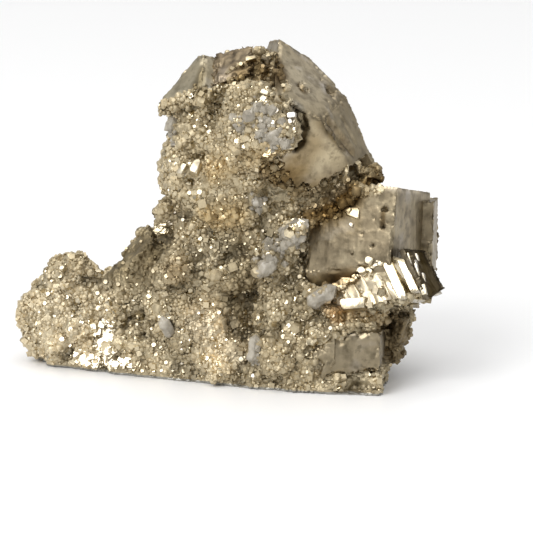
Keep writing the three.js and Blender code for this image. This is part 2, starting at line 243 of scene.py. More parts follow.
# a line along the knob's right edge: a gap is sunk into the crown there, and painted dark there as its shadow
knob_gap_with_painted_shadow = [(8.6, -10.5, 48), (10.2, -10.4, 46.9), (12, -10.6, 45.1), (12.6, -9.4, 42.9), (12, -9, 40.4),
            (10.8, -9.6, 39.8)]
bulge = [(-4, -8.3, 11), (-1, -8.5, 6)]  # a lump at the front
crest_edge = [(-2.8, -5.5, 50.3), (2.2, -5.2, 51.1)]
shoulder_edge = [(-11, -1.6, 45.4), (-7.1, -3.4, 47.2), (-4.6, -4.8, 48.6)]
corner_top_painted_highlight = [(24.7, -10, 33.3), (27.9, -10.9, 33.3), (31.5, -2.9, 31.5)]
valley_shade, deep_shade = (0.8, 0.78, 0.74), (0.6, 0.58, 0.54)
tints_and_painted_light = (  # places, reach, and what the pyrite's colour is multiplied by there: rust and tarnish, and also painted shade and painted highlights
    ([(-31, 3, 5), (-27, 3, 10)], 10, (1.17, 1.18, 1.22)),  # painted light: the left lobe, made paler than the rest of the druse
    ([(-22, 0, 3), (-12, -6, 4)], 5.5, (1.1, 1.1, 1.1)),  # the foot beside it
    (bulge, 4.4, (1.42, 1.42, 1.46)),
    ([(12, -4, 50), (14, 0, 50)], 6, (1.1, 1.13, 1.2)),  # the crown's upper face
    ([(-8.6, -6.3, 2.3)], 1.3, (0.12, 0.11, 0.1)),  # a black pit
    ([(1.5, -7, 15.5), (3.5, -8, 9)], 4.5, valley_shade),  # the valley beside the bulge
    ([(0.5, -7, 14.5), (2.6, -8, 11)], 1.8, deep_shade),
    ([(1.4, -10, 7), (2.8, -12, 3.6)], 1.5, deep_shade),
    ([(1.6, -6, 24), (3.2, -7, 17)], 3, valley_shade),
    # brown painted shade under the crown
    ([(9, -9.6, 32.2), (14, -8.8, 31.4), (20, -7.4, 32), (23.5, -3, 33)], 3.6, (0.5, 0.43, 0.31)),
    ([(20, -8, 31), (13.5, -7, 27)], 2.6, (0.62, 0.55, 0.43)),  # painted shade above the corner cube's front, under the crown
    ([(6, -3, 52.6), (7.2, -6, 50.6)], 2.8, (0.6, 0.53, 0.43)),  # the brown crest beside the crown
    ([(-2, -7.5, 35.6), (2.4, -9, 38.8), (7, -13, 40)], 2.6, (0.98, 0.91, 0.78)),  # rust under the knob
    ([(-3, -7, 27.4), (1, -7.6, 28.4)], 3, (0.93, 0.86, 0.72)),  # rust at the waist
    # painted shade along the ledge under the crown
    ([(13.4, -7, 27.6), (16.8, -7.5, 29.4), (20, -8.4, 31.8), (24, -6, 33.4)], 1.6, (0.6, 0.52, 0.4)),
    ([(11.3, -10.6, 46.8)], 1.6, (0.88, 0.94, 1.1)),  # a grey bloom beside the knob
    ([(17.4, -8, 28.2), (20, -9, 27.4)], 2.2, (1.0, 0.95, 0.84)),  # a little rust on the corner cube
    ([(25.2, -11.1, 30), (25, -11.8, 27.2)], 0.6, (0.4, 0.35, 0.28)),  # a dark mark on its right edge
    ([(12, -5.3, 49.3), (12.3, -6, 48.7)], 1.0, (0.4, 0.34, 0.25)),  # pits in the crown's upper face
    # a painted highlight along the corner cube's top edge
    (corner_top_painted_highlight, 0.7, (1.7, 1.75, 1.9)),
    ([(-4, -1.4, 53.7), (-5.2, -4.4, 49)], 1.1, (0.7, 0.67, 0.6)),  # the ridge beside the shoulder's face
    ([(15, -10, 43.9)], 1.5, (0.85, 0.82, 0.76)),  # the crown's corner
    ([(16.8, -12, 14.2), (17.8, -12.6, 12.6)], 2.0, (1.08, 0.93, 0.76)),  # rust beside the stepped crystal
    ([(27.4, -7, 9), (27.6, -6.2, 6), (25, 1, 8)], 5, (0.42, 0.38, 0.32)),  # the lumps under the corner, painted dark as the shade beneath it
    ([(-15.5, 0, 21.6), (-12, -1, 20), (-17.5, 3, 18)], 5.5, (0.5, 0.47, 0.41)),  # the dull slope at the left
    ([(16.8, -10.2, 17.8), (20, -10.4, 18.6)], 2, (0.72, 0.62, 0.48)),  # the corner cube's broken underside
    ([(19, -10.4, 12), (23.5, -8.6, 11.6)], 3, (1.06, 0.97, 0.84)),  # the druse under it
    ([(13.5, -9.2, 40), (11.4, -9, 36.6)], 2.6, (0.84, 0.79, 0.7)),  # a duller part of the crown's front face
    ([(17.5, -8, 38.2)], 2.6, (1.12, 1.12, 1.1)),  # and a paler one
    ([(-8.5, -6.8, 18.8)], 2.6, (0.8, 0.74, 0.66)),
    ([(-12.4, -1, 20), (-8, -5, 17)], 1.6, (0.6, 0.57, 0.5)),  # the lower edge of the dull slope
    # painted shadow in the gap beside the knob
    (knob_gap_with_painted_shadow, 0.9, (0.14, 0.12, 0.09)),
    ([(6.4, -10.4, 36.4), (8.8, -9.6, 34.6)], 2.4, (0.62, 0.55, 0.44)),  # the dull left end of the front face
    ([(7.6, -2.5, 53.5), (8.2, -4, 52.4), (8.9, -5.5, 51.4), (7.4, -9.8, 49.8)], 1.3, (0.4, 0.36, 0.3)),
    ([(4.2, -4.8, 51.8)], 1.1, (0.4, 0.38, 0.34)),
    ([(-1.2, -4.3, 53.4), (-3.4, -6.1, 49.9)], 0.9, (0.4, 0.37, 0.3)),  # painted shade where shoulder and crest meet
    # painted shade beside that seam
    ([(-2.5, -2.2, 53.6), (-4.6, -4.6, 49.6)], 1.9, (0.72, 0.7, 0.66)),
    ([(15.4, -10.2, 43.6), (18.7, -6.7, 39.8)], 1.2, (0.34, 0.3, 0.23)),  # grooves in the crown's side
    ([(16.6, -7.9, 43.8), (20.3, -4.7, 38.6)], 1.3, (0.55, 0.5, 0.42)),
    ([(16.8, -1, 48.1)], 1.3, (0.4, 0.36, 0.3)),  # a hole behind its upper face
    ([(10.4, -9.8, 37), (11.4, -9.5, 35.4)], 2.4, (0.82, 0.76, 0.64)),
    ([(22.6, -4, 34.6), (24.4, -3, 33.6)], 1.8, (0.5, 0.44, 0.34)),  # where the crown meets the corner cube
    ([(2.4, -4.6, 51.8), (5, -4, 52.4)], 2.6, (0.72, 0.67, 0.56)),
    (crest_edge, 1.2, (0.72, 0.66, 0.55)),
    ([(6.2, -0.5, 53.8), (7.2, -3.5, 52.6)], 1.7, (0.55, 0.5, 0.42)),  # the hollow between crest and crown
)


def toned(piece, shade=1.0):
    """Stores the tints and painted light and shade of a piece's places, multiplied together, at each corner
    of its skin.
    """
    spots = in_drawing(skin_of(piece))
    colour = np.ones((len(spots), 4)) * shade
    for places, reach, tone in tints_and_painted_light:
        near = closeness(spots, places, reach)
        near = near * near * (3 - 2 * near)
        colour[:, :3] *= 1 + near[:, None] * (np.array(tone) - 1)
    layer = piece.data.attributes.new("tone", "FLOAT_COLOR", "POINT")
    layer.data.foreach_set("color", colour.astype(np.float32).ravel())


def finish_piece(piece, material, soft=32):
    """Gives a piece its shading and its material. Edges keener than soft degrees stay sharp."""
    choose(piece)
    bpy.ops.object.shade_smooth_by_angle(angle=math.radians(soft))
    piece.data.materials.clear()
    piece.data.materials.append(material)
    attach(piece, "root")


def finish_crystal(crystal, material):
    finish_piece(crystal, material)
    toned(crystal)


def feed(socket, value):
    """Gives an input a plain value, another node's output, or the first output of a whole node."""
    if isinstance(value, bpy.types.Node):
        value = next(output for output in value.outputs if output.enabled)
    if isinstance(value, bpy.types.NodeSocket):
        socket.id_data.links.new(value, socket)
    else:
        socket.default_value = value


def fill(node, **inputs):
    """Feeds a node's inputs by their names, written with _ for each space."""
    for name, value in inputs.items():
        name = name.replace("_", " ")
        feed(next(socket for socket in node.inputs if socket.name == name and socket.enabled), value)


def add(beside, kind, settings=None, **inputs):
    """Adds a node to a tree, or to the tree that another node or one of its sockets is in."""
    node = beside.id_data.nodes.new(kind)
    for name, value in (settings or {}).items():
        setattr(node, name, value)
    fill(node, **inputs)
    return node


def calculate(operation, first, second):
    node = add(first, "ShaderNodeMath", {"operation": operation})
    feed(node.inputs[0], first)
    feed(node.inputs[1], second)
    return node


def ranged(value, **ends):
    return add(value, "ShaderNodeMapRange", Value=value, **ends)


def clouds(place, scale, detail):
    return add(place, "ShaderNodeTexNoise", Vector=place, Scale=scale, Detail=detail)


def spotted(place, scale, low, high, detail=3.0):
    """A pattern of soft spots, 0 below low and 1 above high."""
    return ranged(clouds(place, scale, detail), From_Min=low, From_Max=high)


def bumps(height, strength, distance):
    return add(height, "ShaderNodeBump", Height=height, Strength=strength, Distance=distance * mm)


def attribute(beside, name, output):
    return add(beside, "ShaderNodeAttribute", {"attribute_name": name}).outputs[output]


def blend_colours(share, first, second):
    return add(share, "ShaderNodeMix", {"data_type": "RGBA"}, Factor=share, A=first, B=second)


def tone_by_place(colour):
    multiply = {"data_type": "RGBA", "blend_type": "MULTIPLY"}
    return add(colour, "ShaderNodeMix", multiply, Factor=1.0, A=colour, B=attribute(colour, "tone", "Color"))


def darkened(colour, share):
    return (*(share * part for part in colour), 1)


def new_material(name):
    """A new material, its shader and the place on the piece that its patterns go by."""
    material = bpy.data.materials.new(name)
    material.use_nodes = True
    shader = material.node_tree.nodes["Principled BSDF"]
    return material, shader, add(shader, "ShaderNodeTexCoord").outputs["Object"]


def crystal_face(name, clean, tarnish, rough, slanting=(1, 1, 1)):
    """The finish of a large crystal's faces: satin metal, clouded with tarnish and finely striated."""
    material, shader, place = new_material(name)
    colour = blend_colours(spotted(place, 150, 0.35, 0.68), (*clean, 1), (*tarnish, 1))
    bloom = (0.95 * clean[0], clean[1], 1.2 * clean[2], 1)
    colour = blend_colours(spotted(place, 210, 0.56, 0.72, 2.0), colour, bloom)
    colour = blend_colours(spotted(place, 480, 0.46, 0.7), colour, darkened(tarnish, 0.7))
    freckles = ranged(spotted(place, 900, 0.57, 0.7, 2.0), To_Max=0.6)
    colour = blend_colours(freckles, colour, darkened(tarnish, 0.5))
    striae = clouds(add(place, "ShaderNodeMapping", Vector=place, Scale=(1, 1, 0.12)), 900, 2.0)
    worn = spotted(place, 420, 0.3, 0.7)
    fill(
        shader, Base_Color=tone_by_place(colour), Metallic=1.0,
        Specular_Tint=(*slanting, 1),  # what is seen at a slant takes this tint
        Roughness=ranged(worn, To_Min=rough[0], To_Max=rough[1]),
        Normal=bumps(calculate("ADD", clouds(place, 520, 5.0), striae), 0.45, 0.2),
    )
    return material


grown_smooth = []  # the faces of each crystal that no druse covers

crown_corner = (15.5, -9.4, 44.4)
crown_upper = (crown_corner, (0.534, -0.415, 0.737))
crown_side = (crown_corner, (0.836, -0.439, 0.327))
crown_front = (crown_corner, (0.3, -0.93, -0.19))
crown_faces = [
    crown_upper,
    crown_side,
    crown_front,
    ((8.5, 2, 55.9), (0.5, 0.2, 0.84)),
    ((14.3, 3, 51.8), (0.717, 0.1, 0.69)),
    ((19.5, 0, 46.8), (0.823, 0.411, 0.391)),
    ((24.6, 1, 34.2), (0.62, -0.1, -0.78)),
    ((11.2, -8.1, 31.2), (0.36, -0.15, -0.92)),
    ((4.6, -11.6, 38), (-0.87, -0.19, -0.45)),
    ((8.3, 2, 55.9), (-0.62, -0.1, 0.76)),
    ((8.2, -3, 54), (-1, -0.1, 0.31)),
    ((14, 14, 44), (0.2, 0.95, 0.24)),
]
grown_smooth.append(crown_faces)
crown_finish = crystal_face("crown finish", (0.47, 0.395, 0.265), (0.35, 0.285, 0.185), (0.34, 0.5))

crown = cut_back("crown", (15, 3, 44), 15, crown_faces, 0.26)

crown_pits = (  # across and up the upper face, width and depth
    (1.1, 7.3, 0.55, 0.7), (1.8, 6.4, 0.4, 0.6), (0.5, 6.5, 0.3, 0.5), (2.3, 7.8, 0.3, 0.4),
    (7.4, 5.5, 0.7, 0.9), (6.6, 5.2, 0.45, 0.6), (7.2, 7.8, 0.25, 0.3), (4.6, 3.4, 0.2, 0.25),
    (-1.8, 9.5, 0.3, 0.3),
)


def upper_depth(u, v):
    depth = layers(u, v, 3, 6, 10, 4, 9, 0.025) + 0.05 * ripple(u, v, 4.5, 1)
    for at_u, at_v, size, deep in crown_pits:
        depth += pit(u, v, at_u, at_v, size, deep, 40 * at_v)
    return depth


def side_depth(u, v):
    depth = layers(u, v, 8, 5, 9, 3, 8, 0.03) + 0.06 * ripple(u, v, 3.5, 2)
    depth += groove(u, v, [(-0.8, -0.8), (3.9, -4.9)], 0.9, 0.9)
    depth += groove(u, v, [(1.9, -0.7), (6.4, -6.1)], 1.1, 0.7)
    return depth + groove(u, v, [(6.4, -0.6), (8.4, -5)], 0.7, 0.3)


teeth = (  # across and up the front face, from left to right
    (-11.3, -6.3), (-10.6, -8.5), (-9.35, -10.1), (-8.5, -9.5), (-7.6, -10.8), (-6.8, -9.9), (-5.9, -10.9),
    (-4.9, -9.9), (-3.8, -12), (-2.8, -10.7), (-1.75, -11.3), (-0.8, -12.2), (-0.2, -11.6), (0.8, -10.3),
    (1.8, -10.5), (2.8, -9.5), (3.4, -9.6), (4.5, -8.6), (7, -8.2),
)


def below_teeth(u, v):
    """1 below the toothed edge of the crown's front face and 0 above it."""
    return np.clip((np.interp(u, *zip(*teeth)) + 0.25 * ripple(u, v, 0.6, 9) - v) / 0.3, 0, 1)


def front_depth(u, v):
    left_end = 0.25 * np.clip((-6.5 - u) / 1.5, 0, 1) * (1 + ripple(u, v, 1, 13))
    return left_end + layers(u, v, 5, 5, 8, 3, 7, 0.025) + 0.06 * ripple(u, v, 4, 4)


carve(crown, crown_upper, upper_depth)
carve(crown, crown_side, side_depth)
carve(crown, crown_front, front_depth)
spots = skin_of(crown)
across_front, up_front, off_front = face_place(spots, crown_front)
hidden = below_teeth(across_front, up_front) * np.clip(off_front + 5, 0, None) * mm
front_facing = unit(crown_front[1])
set_skin(crown, spots - np.outer(hidden, front_facing))
sink(crown, knob_gap_with_painted_shadow, 0.6, 1.0)
sink(crown, [(16.8, -1, 48.1), (17.6, -2.6, 47.4)], 0.6, 0.7)
wear(crown, crown_faces, 0.7, 0.5)
finish_crystal(crown, crown_finish)


# The shoulder and crest crystals, at the top left. Both have one smooth pyrite face that looks up and
# forward. They grew against each other, and the seam where they meet is painted dark as shade.
shoulder_point = (-11.8, -1, 45.1)
shoulder_smooth = (shoulder_point, (-0.632, -0.452, 0.629))
shoulder_faces = [
    shoulder_smooth,
    ((-4.8, 1, 53.5), (0.1, 0.3, 0.95)),
    ((-2.6, 1, 53.3), (0.5, -0.55, 0.66)),
    ((-7, -4.1, 47.4), (0.146, -0.55, -0.8)),
    (shoulder_point, (-0.92, 0.3, -0.25)),
    ((-5.2, 1.2, 53.8), (-0.75, 0.4, 0.53)),
    ((-9.6, 7, 44.6), (-0.4, 0.9, 0.1)),
    ((1, 0, 46), (1, 0, 0)),
]
crest_smooth = ((-0.5, 0, 53.6), (-0.339, -0.545, 0.767))
crest_faces = [
    crest_smooth,
    ((2.7, 0, 55), (-0.1, 0.5, 0.86)),
    ((-2.8, -5.5, 50.3), (-0.9, -0.1, 0.4)),
    ((4.6, -1, 54), (0.9, -0.1, 0.3)),
    ((2.2, -5.4, 50.7), (0.12, -0.55, -0.83)),
    ((4.2, -3, 53), (0.9, 0, 0)),
]
grown_smooth += [shoulder_faces, crest_faces]
shoulder_finish = crystal_face("shoulder finish", (0.54, 0.48, 0.345), (0.44, 0.38, 0.265), (0.36, 0.48))
crest_finish = crystal_face("crest finish", (0.27, 0.215, 0.14), (0.19, 0.145, 0.092), (0.38, 0.52))

shoulder = cut_back("shoulder", (-5, 2, 46), 9, shoulder_faces, 0.24)
carve(shoulder, shoulder_smooth,
      lambda u, v: layers(u, v, 31, 3, 5, 2, 6, 0.02) + 0.05 * ripple(u, v, 3.5, 3))
wear(shoulder, shoulder_faces, 0.7, 0.5)
finish_crystal(shoulder, shoulder_finish)

crest = cut_back("crest", (1, 0, 50), 6, crest_faces, 0.22)
carve(crest, crest_smooth, lambda u, v: layers(u, v, 12, 4, 3.5, 2, 4, 0.03) + 0.2 * ripple(u, v, 1.6, 6)
      + 0.1 * ripple(u, v, 0.8, 14))
wear(crest, crest_faces, 1.6, 1.0)
finish_crystal(crest, crest_finish)


# The corner cube, at the right, and the slab that grew on its side. Their pyrite is the smoothest on the
# cluster: the front has etched three-sided pits, and the side has soft upright bands. Druse covers the
# cube's upper left corner.
def turned(angles):
    """A turn about X, Y and Z, from degrees."""
    return Euler([math.radians(angle) for angle in angles], "XYZ")


def block_faces(centre, edges, turn):
    """The six faces of a block, from its middle, edges and turn about X, Y and Z in degrees."""
    spin = turned(turn).to_matrix()
    faces = []
    for axis in range(3):
        for way in (-1, 1):
            facing = spin.col[axis] * way
            faces.append((tuple(Vector(centre) + facing * edges[axis] / 2), tuple(facing)))
    return faces


corner_faces = block_faces((22.9, -3.5, 22.6), (15, 15, 19.5), (-13, 0, -25))
corner_front, corner_right, corner_top = corner_faces[2], corner_faces[1], corner_faces[5]
corner_faces.append(((19, -8.2, 30.4), (-0.55, -0.05, 0.83)))
corner_faces.append(((16.8, -9.82, 19.9), (-0.295, -0.883, -0.365)))  # the underside, broken and turned away
slab_faces = block_faces((29.4, 3, 22.8), (10.6, 9, 12.6), (-6, 0, -8))
grown_smooth += [corner_faces, slab_faces]
corner_finish = crystal_face("corner finish", (0.34, 0.285, 0.19), (0.26, 0.21, 0.135), (0.33, 0.48))

corner = cut_back("corner_cube", (22.9, -3.5, 22.6), 15, corner_faces, 0.26)

corner_pits = (  # across and up the front, width and depth
    (5.5, 5.9, 0.42, 0.7), (5.4, 3, 0.28, 0.5), (2.0, 1.6, 0.22, 0.4), (0.6, -1.8, 0.22, 0.4),
    (4.0, -0.1, 0.3, 0.5), (3.9, 4.2, 0.16, 0.3), (6.3, 3.9, 0.2, 0.3), (3.2, -1.1, 0.16, 0.25),
    (5.0, 4.4, 0.14, 0.25),
)


def corner_front_depth(u, v):
    depth = layers(u, v, 41, 6, 6, 2.5, 6, 0.02) + 0.025 * ripple(u, v, 3, 7) + 0.02 * ripple(u, v, 1.2, 8)
    depth += 0.1 * np.clip((-3.7 - u) / 0.5, 0, 1)  # the left end lies a little deeper
    for at_u, at_v, size, deep in corner_pits:
        depth += pit(u, v, at_u, at_v, size, deep, 35 * at_v)
    return depth


carve(corner, corner_front, corner_front_depth)
carve(corner, corner_right, lambda u, v: layers(u, v, 43, 4, 6, 1.5, 4, 0.025)
      + 0.04 * ripple(u * 2.4, v * 0.16, 2, 9) + 0.02 * ripple(u * 5, v * 0.3, 2, 10))
carve(corner, corner_top, lambda u, v: layers(u, v, 47, 5, 6, 2, 5, 0.04) + 0.06 * ripple(u, v, 2, 11))
wear(corner, corner_faces, 0.6, 0.4)
finish_crystal(corner, corner_finish)

slab = cut_back("corner_slab", (29.4, 3, 22.8), 9, slab_faces, 0.24)
for face in slab_faces:
    carve(slab, face,
          lambda u, v: layers(u, v, 53, 6, 5, 1.5, 4, 0.05) + 0.04 * ripple(u * 3, v * 0.4, 2, 12))
wear(slab, slab_faces, 0.7, 0.5)
finish_crystal(slab, corner_finish)


# The stepped crystal in front of the corner cube, of pyrite that grew in layers that don't line up. Its left
# end is dull and overgrown. Then come clean layers that turn straight towards the light, the brightest on
# the cluster, and its right end is broken off in steps, dark brown with its darkness painted shade.
stepped_centre, stepped_turn = Vector((25.3, -9.2, 17.0)), (-16, -23, -22)
stepped_length, stepped_height, stepped_depth = 15.2, 7.6, 9.0
bare_past_end = 2.8  # no druse grows so near to the broken end
layer_slant = -0.22  # how far the layers slope sideways for each millimetre up
foremost = -17.9  # the broken end doesn't reach past this Y
stepped_spin = turned(stepped_turn).to_matrix()
stepped_along, stepped_inward, stepped_upward = stepped_axes = [np.array(axis) for axis in stepped_spin.col]


def on_stepped(along, into, up):
    """A place in the drawing, from how far along, into and up the crystal it is from its middle."""
    return tuple(stepped_centre + stepped_spin @ Vector((along, into, up)))


stepped_room = (stepped_length + bare_past_end, stepped_depth, stepped_height)
grown_smooth.append(block_faces(on_stepped(bare_past_end / 2, 0, 0), stepped_room, stepped_turn))
cream_finish = crystal_face("cream finish", (0.74, 0.66, 0.5), (0.62, 0.53, 0.37), (0.34, 0.52))
stepped_finish = crystal_face("stepped finish", (0.66, 0.59, 0.45), (0.54, 0.46, 0.31), (0.13, 0.26))
# the broken end's dark brown colour is painted shade
end_finish_painted_shade = crystal_face("broken end finish with painted shade", (0.2, 0.165, 0.11), (0.11, 0.088, 0.056), (0.4, 0.55),
                          (0.42, 0.36, 0.27))
# Each layer's thickness, how far it stands out, turns right and leans back, its lower end and its top.
dull_layers = (
    (1.6, -2.2, 2, -4, -2.7, 2.7), (1.3, -1.7, 8, 0, -3, 2.9), (1.6, -1.3, 3, 4, -3.3, 3.1),
    (0.5, -1.9, -10, 0, -2.9, 2.8), (1.6, -1.0, 9, 4, -3.4, 3.1), (1.4, -1.2, 4, 0, -3.6, 2.9),
    (1.4, -1.4, 8, 3, -3.4, 2.6), (1.0, -1.8, -6, 2, -3.7, 2.3), (0.5, -1.8, -16, 0, -3.6, 2.2),
)
clean_layers = ((1.4, 0.2, 14, 7, -4.4, 2.6), (1.1, -0.9, -24, -4, -3.6, 2.2), (1.2, 0.3, 14, 7, -3.9, 2.1))


def worn_edges(piece, width, segments):
    bevel = piece.modifiers.new("worn edges", "BEVEL")
    bevel.width, bevel.segments = width * mm, segments
    bpy.ops.object.modifier_apply(modifier=bevel.name)


def grown_layer(start, thick, stands_out, turns, leans, low, high, uneven):
    """One layer of the stepped crystal, that begins start millimetres from the crystal's middle."""
    middle_of_layer = at(*on_stepped(start + thick / 2, 0, (low + high) / 2))
    layer = new_cube(1, location=middle_of_layer)
    layer.scale = Vector((thick + 0.04, stepped_depth + stands_out, high - low)) * mm
    layer.rotation_euler = stepped_spin.to_euler()
    bpy.ops.object.transform_apply()
    spots = skin_of(layer)
    along, inward, upward = ((spots - np.array(middle_of_layer)) @ axis for axis in stepped_axes)
    back = math.tan(math.radians(turns)) * along + math.tan(math.radians(leans)) * upward
    set_skin(layer, spots + np.outer(np.where(inward < 0, back, 0), stepped_inward))
    worn_edges(layer, 0.08, 2)
    edit()
    bpy.ops.mesh.subdivide(number_cuts=4)
    stop_editing()
    spots = skin_of(layer)
    upward = (spots - np.array(at(*stepped_centre))) @ stepped_upward
    spots += np.outer(layer_slant * upward, stepped_along)
    spots += np.outer(uneven * mm * speckle(spots, 1.3), stepped_inward)
    spots += np.outer(0.35 * mm * speckle(spots + thick, 1.1), stepped_upward)
    set_skin(layer, spots)
    return layer


def stepped_part(name, finish, start, layer_sizes, uneven):
    """A part of the stepped crystal, of layers side by side from start on, and where it ends."""
    built = []
    for sizes in layer_sizes:
        built.append(grown_layer(start, *sizes, uneven))
        start += sizes[0]
    choose(*built)
    bpy.ops.object.join()
    built[0].name = name
    finish_crystal(built[0], finish)
    return built[0], start


dull_end, clean_start = stepped_part("stepped_dull_end", cream_finish, -stepped_length / 2, dull_layers, 0.7)
stepped_part("stepped_crystal", stepped_finish, clean_start, clean_layers, 0.2)

end_planes = (  # a point of each face and the way it faces, along, into and up the stepped crystal
    ((8.1, 0, 0), (1, 0, 0.22)), ((6.8, 0, 0), (-1, 0, -0.22)), ((7, -4.5, 0), (-0.1, -1, 0)),
    ((7, 4.5, 0), (0, 1, 0)), ((7, 0, 3.8), (0, -0.05, 1)), ((7, -4.2, -5.6), (0, 0.3, -1)),
)
end_faces = [(on_stepped(*point), tuple(stepped_spin @ Vector(facing))) for point, facing in end_planes]
end_faces.append(((0, foremost, 0), (0, -1, 0)))
broken_end = cut_back("stepped_broken_end", on_stepped(7, 0, 0), 7, end_faces, 0.2)
carve(broken_end, end_faces[0],
      lambda u, v: layers(u, v, 71, 8, 3.5, 0.6, 3.0, 0.08) + 0.1 * ripple(u, v, 1.2, 15))
wear(broken_end, end_faces, 0.6, 0.35)
finish_crystal(broken_end, end_finish_painted_shade)


# The smaller blocks: the foot at the right, one under the corner, the lump on the crest, and those at the
# back. They are pyrite too, half sunk in the druse.
blocks = {  # middle, edges and turn
    "foot_block": ((20.7, -8.9, 3.3), (10, 13, 13), (-7, 0, -8)),
    "foot_side": ((16.6, -10.8, 3.4), (4.4, 8, 12.4), (-7, 0, -20)),
    "under_corner_rear": ((25.6, 4, 8.4), (8, 8, 8), (10, 16, 20)),
    "crest_lump": ((6.2, 1, 50.8), (4.4, 4.4, 4.2), (28, 22, 30)),
    "rear_large": ((-5, 13, 23), (10, 9, 10), (20, 12, 28)),
    "rear_low": ((8, 15, 14), (10, 8, 10), (-14, 20, -20)),
    "rear_high": ((3, 12, 47), (8, 7, 8), (25, 35, 10)),
    "rear_corner": ((21, 12, 22), (9, 9, 10), (10, -18, 40)),
}
broken_off = {  # further faces, where a block is chipped or the druse covers it
    "foot_block": [((24.9, -16, 5), (0.86, -0.5, 0.05)), ((20, -15, 3.2), (0.16, 0.1, -1)),
                   ((18, -15, 9), (-0.35, -0.3, 0.9))],
    "foot_side": [((16.6, -14, 3.6), (-0.4, 0.1, -1)), ((15, -13, 8), (-0.6, -0.2, 0.8))],
}
block_finish = crystal_face("block finish", (0.33, 0.275, 0.185), (0.25, 0.205, 0.13), (0.34, 0.5))
for seed, (name, (centre, edges, turn)) in enumerate(blocks.items()):
    faces = block_faces(centre, edges, turn) + broken_off.get(name, [])
    faces.append(((0, 0, 0), (0, 0, -1)))  # none reaches below the sawn face
    longest = max(edges)
    block = cut_back(name, centre, 0.5 * sum(edges), faces, 0.2 if longest < 6 else 0.26)
    for face in faces[:6]:
        carve(block, face, lambda u, v: layers(u, v, 60 + seed, 5, 0.5 * longest, 0.8, 0.4 * longest, 0.03)
              + 0.04 * ripple(u * 2, v, 1.8, seed))
    wear(block, faces[:-1], 1.2, 0.8)
    finish_crystal(block, block_finish)
    grown_smooth.append(faces[:-1])


# The druse: the mass that everything grew in, a crust of small pyrite crystals over rounded lumps. It has
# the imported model's own shape, roughened, with small lumps in the gaps between the crystals, and it ends in
# the sawn face that the cluster stands on.
def among(spots, faces):
    """How far each spot is outside a crystal, in millimetres. It is below 0 inside."""
    return np.max(off_faces(spots, faces), axis=0)


def closest(spots, table, fade=1.3):
    """1 near any of the table's places, and 0 away from all of them."""
    return np.max([closeness(spots, places, reach, fade) for places, reach in table], axis=0)


def store(piece, name, values):
    """Stores a value at each corner of a piece's skin."""
    layer = piece.data.attributes.new(name, "FLOAT", "POINT")
    layer.data.foreach_set("value", values.astype(np.float32))


def copy_of(piece, name):
    """A copy of a piece, with its own mesh, that rides on nothing yet."""
    choose(piece)
    bpy.ops.object.duplicate()
    copy = bpy.context.active_object
    copy.name = name
    for key in [key for key in copy.keys() if key.startswith("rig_")]:
        del copy[key]
    copy.parent = None
    return copy


def lump_distance(spots, size):
    """How far each spot is from the middle of its lump, as a share of size."""
    return np.array([noise.voronoi(spot / (size * mm))[0][0] for spot in spots])


sawn_grey = (0.36, 0.35, 0.32)


def druse_material(name, light, dark, rough, glitter, relief):
    """The finish of the druse: pyrite with dull and tarnished places. A share of its grains glitters."""
    material, shader, place = new_material(name)
    colour = blend_colours(spotted(place, 140, 0.36, 0.66), (*light, 1), (*dark, 1))
    own = attribute(place, "grain_tone", "Fac")
    dull = ranged(own, From_Min=0.6, From_Max=1.0, To_Max=0.36)
    colour = tone_by_place(blend_colours(dull, colour, darkened(dark, 0.5)))
    above = add(place, "ShaderNodeSeparateXYZ", Vector=place).outputs["Z"]
    sawn = ranged(above, From_Min=0.35 * mm, From_Max=0.5 * mm, To_Min=1.0, To_Max=0.0)
    clean = ranged(own, From_Min=glitter - 0.1, From_Max=glitter, To_Min=0.12, To_Max=rough[0])
    worn = ranged(spotted(place, 500, 0.35, 0.65), To_Max=rough[1] - rough[0])
    crumbs = add(place, "ShaderNodeTexVoronoi", Vector=place, Scale=1150)
    fill(
        shader, Base_Color=blend_colours(sawn, colour, (*sawn_grey, 1)), Metallic=1.0,
        Roughness=calculate("ADD", clean, worn),
        Normal=bumps(calculate("ADD", clouds(place, 1700, 3.0), crumbs), relief, 0.25),
    )
    return material


head_floor, middle_floor = 30, 14  # heights at which the head and the middle of the druse begin
lobe_end, lobe_rear, rear = -16, 12, 6  # X of the lobe's right end, and Y of its back and of the rest's
dull_places = (  # places and reach of the parts of the druse that carry few grains
    ([(-31, 3, 4), (-28, 2.5, 9)], 3), (bulge, 4), ([(-12.5, -5.5, 4)], 3.4),
    ([(-8.5, -6.8, 18.8)], 3), ([(-3, -7.8, 35), (0.6, -8, 31)], 2.6), ([(-18, 2, 16.6)], 4),
    ([(4.4, -7.3, 29.9)], 2.5), ([(-16.5, 0, 21), (-12, -1, 20), (-18, 3, 17.6)], 6.5),
    ([(6, -2, 52.5), (7.5, -5, 50.5)], 2.2),
    ([(27.4, -7, 9), (27.6, -6.2, 6), (27, 0, 8)], 5), ([(1.5, -5, 51), (4, -4, 52.6)], 1.8),
)
crumbly_places = dull_places[:5]
quartz_patches = (  # places and reach of the parts where small quartz shows between the grains
    ([(5.2, -13.2, 46.6)], 2.2), ([(7.4, -13.8, 42.4), (6.4, -13.8, 43.6)], 2.4), ([(2, -12.6, 44.2)], 1.3),
    ([(4.4, -7.4, 30.2)], 1.5), ([(-9, -1.6, 39.8), (-9.4, -1, 42)], 1.0), ([(6.4, -9.9, 20.2)], 2.7),
    ([(10.2, -9.4, 25.6), (8, -8.6, 24)], 1.9), ([(4.1, -12, 6.6), (4, -12.4, 4.4)], 1.1),
)
